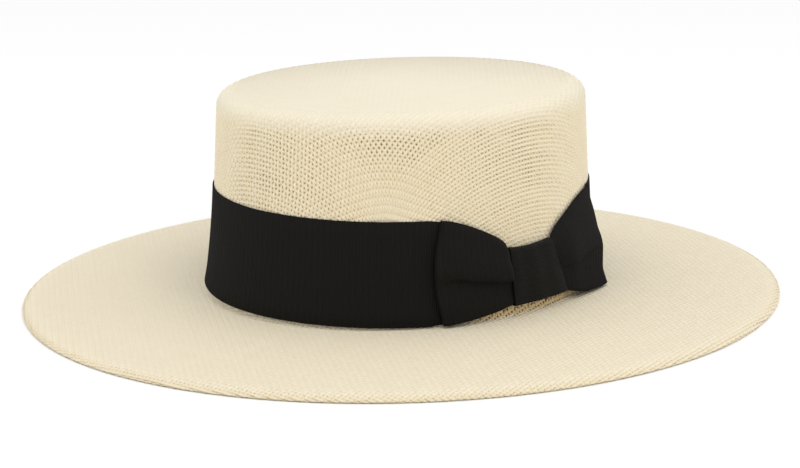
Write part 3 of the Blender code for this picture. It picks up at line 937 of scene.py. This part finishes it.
def straw_tone(tree, parts, fibre):
    """A yarn's tone, 0 to 1: its own from its number, a slow drift along it, and its fibres."""
    number = worked(tree, "FLOOR", parts["Y"])
    own = add(tree, "ShaderNodeTexWhiteNoise", {"noise_dimensions": "1D"}, W=number).outputs["Value"]
    lengthwise = add(tree, "ShaderNodeCombineXYZ", X=parts["X"], Y=number).outputs[0]
    tone = worked(tree, "MULTIPLY_ADD", own, 0.20, noise(tree, lengthwise, STRAW_DRIFT, 3.0))
    tone = worked(tree, "MULTIPLY_ADD", fibre, 0.45, tone)
    return ranged(tree, tone, 0.40, 1.25)


def painted_crevice_shade(tree, round_yarn, height):
    """How much painted shade darkens the straw between yarns, where shade falls: by the way down a yarn's
    side, times the weave's openness.

    That is 0.45 on the brim, 0.42 more on the hem, 1 on the crown's wall and a fifth of that on the tip.
    """
    share = worked(tree, "FRACT", round_yarn)
    off_ridge = worked(tree, "ABSOLUTE", worked(tree, "SUBTRACT", share, 1 / 3))
    down_side = ranged(tree, off_ridge, 0.10, 0.34, 0.20, 1.0, "SMOOTHSTEP")
    wall = ranged(tree, height, BRIM_TOP + 0.001, BRIM_TOP + 0.004, 0.45, 1.0)
    hem = ranged(tree, height, flat_height(1.0) - 0.0011, flat_height(1.0) - 0.0018, 0.0, 0.42)
    below_tip = ranged(tree, height, CROWN_TOP - 0.012, CROWN_TOP - 0.003, 1.0, 0.2)
    open_weave = worked(tree, "MULTIPLY", worked(tree, "ADD", wall, hem), below_tip)
    return worked(tree, "MULTIPLY", down_side, open_weave)


def painted_foot_shade(tree, right, height):
    """Painted shade in the open collar, where the bow shades it: from the brim up to 7 mm above it, and only
    below the bow.
    """
    low = ranged(tree, height, BRIM_TOP + 0.007, BRIM_TOP + 0.001)
    over_brim = ranged(tree, height, BRIM_TOP - 0.00015, BRIM_TOP + 0.0003)
    bow_side = ranged(tree, right, 0.072, 0.080)
    return worked(tree, "MULTIPLY", worked(tree, "MULTIPLY", low, over_brim), bow_side)


def straw_material(name, colour):
    """Twisted paper straw: each yarn has its own tone and fibres along it, with painted shade down its sides
    and in the open weave, and painted shade in the collar below the bow.
    """
    material, tree, shader = node_tree(name)
    spread = add(tree, "ShaderNodeUVMap", {"uv_map": "yarn"}).outputs["UV"]
    parts = add(tree, "ShaderNodeSeparateXYZ", Vector=spread).outputs
    place = add(tree, "ShaderNodeTexCoord").outputs["Object"]
    place = add(tree, "ShaderNodeSeparateXYZ", Vector=place).outputs
    fibre = noise(tree, spread, STRAW_FIBRES, 4.0)
    darkest, palest = ((*(np.array(colour) * share), 1) for share in (STRAW_DARKEST, STRAW_PALEST))
    tint = mixed(tree, straw_tone(tree, parts, fibre), darkest, palest)
    # painted shade down the yarns' sides and between them
    tint = mixed(tree, painted_crevice_shade(tree, parts["Y"], place["Z"]), tint, CREVICE_PAINTED_SHADE, "MULTIPLY")
    # painted shade in the collar below the bow
    tint = mixed(tree, painted_foot_shade(tree, place["X"], place["Z"]), tint, FOOT_PAINTED_SHADE, "MULTIPLY")
    tree.links.new(tint, shader.inputs["Base Color"])
    tree.links.new(ranged(tree, fibre, to_low=0.52, to_high=0.72), shader.inputs["Roughness"])
    tree.links.new(bumped(tree, fibre, 0.35, 0.0002), shader.inputs["Normal"])
    shader.inputs["Specular IOR Level"].default_value = 0.5
    return material


def ribbon_material(name):
    """Black ribbed ribbon: a sine for the ribs across its width, with fine threads between them."""
    material, tree, shader = node_tree(name)
    spread = add(tree, "ShaderNodeUVMap", {"uv_map": "ribbon"}).outputs["UV"]
    along = add(tree, "ShaderNodeSeparateXYZ", Vector=spread).outputs["X"]
    rib = worked(tree, "SINE", worked(tree, "MULTIPLY", along, 2 * math.pi / RIBBON_LINES))
    thread = noise(tree, spread, RIBBON_THREADS, 2.0)
    height = worked(tree, "MULTIPLY_ADD", thread, 0.7, rib)
    tint = mixed(tree, ranged(tree, height, -1.0, 1.7), RIBBON_DARK, RIBBON_PALE)
    tree.links.new(tint, shader.inputs["Base Color"])
    tree.links.new(ranged(tree, thread, to_low=0.62, to_high=0.85), shader.inputs["Roughness"])
    tree.links.new(bumped(tree, height, 0.8, 0.00012), shader.inputs["Normal"])
    shader.inputs["Specular IOR Level"].default_value = 0.12
    return material


# Light, floor and camera

def studio_floor():
    """A pale matt floor, 16 metres square."""
    size = 8.0
    corners = np.array([(-size, -size, 0), (size, -size, 0), (size, size, 0), (-size, size, 0)])
    material, tree, shader = node_tree("pale_floor")
    shader.inputs["Base Color"].default_value = FLOOR
    shader.inputs["Roughness"].default_value = 0.9
    shader.inputs["Specular IOR Level"].default_value = 0.0
    mesh = new_mesh("studio_floor", corners, [np.array([(0, 1, 2, 3)])])
    mesh.materials.append(material)
    in_scene("studio_floor", mesh)


def studio_light():
    """White light from all round, and three soft panels that face the hat."""
    world = bpy.data.worlds.new("studio")
    world.use_nodes = True
    background = world.node_tree.nodes["Background"].inputs
    background["Color"].default_value = (1.0, 1.0, 1.0, 1)
    background["Strength"].default_value = 1.0
    bpy.context.scene.world = world
    for name, place, width, power in PANELS:
        light = bpy.data.lights.new(name, "AREA")
        light.size = width
        light.energy = power
        panel = in_scene(name, light)
        panel.location = place
        panel.rotation_euler = (-Vector(place)).to_track_quat("-Z", "Y").to_euler()


def camera():
    """The photograph's camera: its back axis points along azimuth and elevation, and it rolls a little."""
    back = Vector((
        math.sin(CAMERA_AZIMUTH) * math.cos(CAMERA_ELEVATION),
        -math.cos(CAMERA_AZIMUTH) * math.cos(CAMERA_ELEVATION),
        math.sin(CAMERA_ELEVATION),
    ))
    level = Vector((math.cos(CAMERA_AZIMUTH), math.sin(CAMERA_AZIMUTH), 0.0))
    right = math.cos(CAMERA_ROLL) * level + math.sin(CAMERA_ROLL) * back.cross(level)
    up = back.cross(right)
    lens = bpy.data.cameras.new("camera")
    lens.lens = CAMERA_LENS
    lens.sensor_width = 36.0
    eye = in_scene("camera", lens)
    eye.matrix_world = Matrix.Translation(CAMERA_PLACE) @ Matrix((right, up, back)).transposed().to_4x4()
    bpy.context.scene.camera = eye


# The hat's pieces

def straw_pieces():
    """The crown's yarns, each family in two pieces, the brim's yarns, and the stitches of its hem."""
    paler = straw_material("ivory_paper_straw_paler", PALER_STRAW)
    darker = straw_material("ivory_paper_straw_darker", DARKER_STRAW)
    for weave in WEAVES:
        for crosswise, family, straw in ((False, "lengthwise", paler), (True, "crosswise", darker)):
            for half in weave.halves:
                name = "_".join(filter(None, (weave.node, "yarns", family, half)))
                new_piece(yarn_mesh(name, weave, crosswise, half), straw, weave.node)
    new_piece(hem_stitches(), paler, "brim")


def ribbon_pieces():
    """The band, the bow's two loops and its knot."""
    ribbon = ribbon_material("black_grosgrain")
    band, front_loop, back_loop, knot = (new_piece(mesh, ribbon, node) for mesh, node in (
        (hat_band(), "hat_band"),
        (bow_loop("ribbon_front_loop", FRONT_LOOP), "bow_front_loop"),
        (bow_loop("ribbon_back_loop", BACK_LOOP), "bow_back_loop"),
        (bow_knot(), "bow_knot"),
    ))


camera()
studio_floor()
studio_light()
bpy.context.scene.view_settings.view_transform = "Standard"
straw_pieces()
ribbon_pieces()
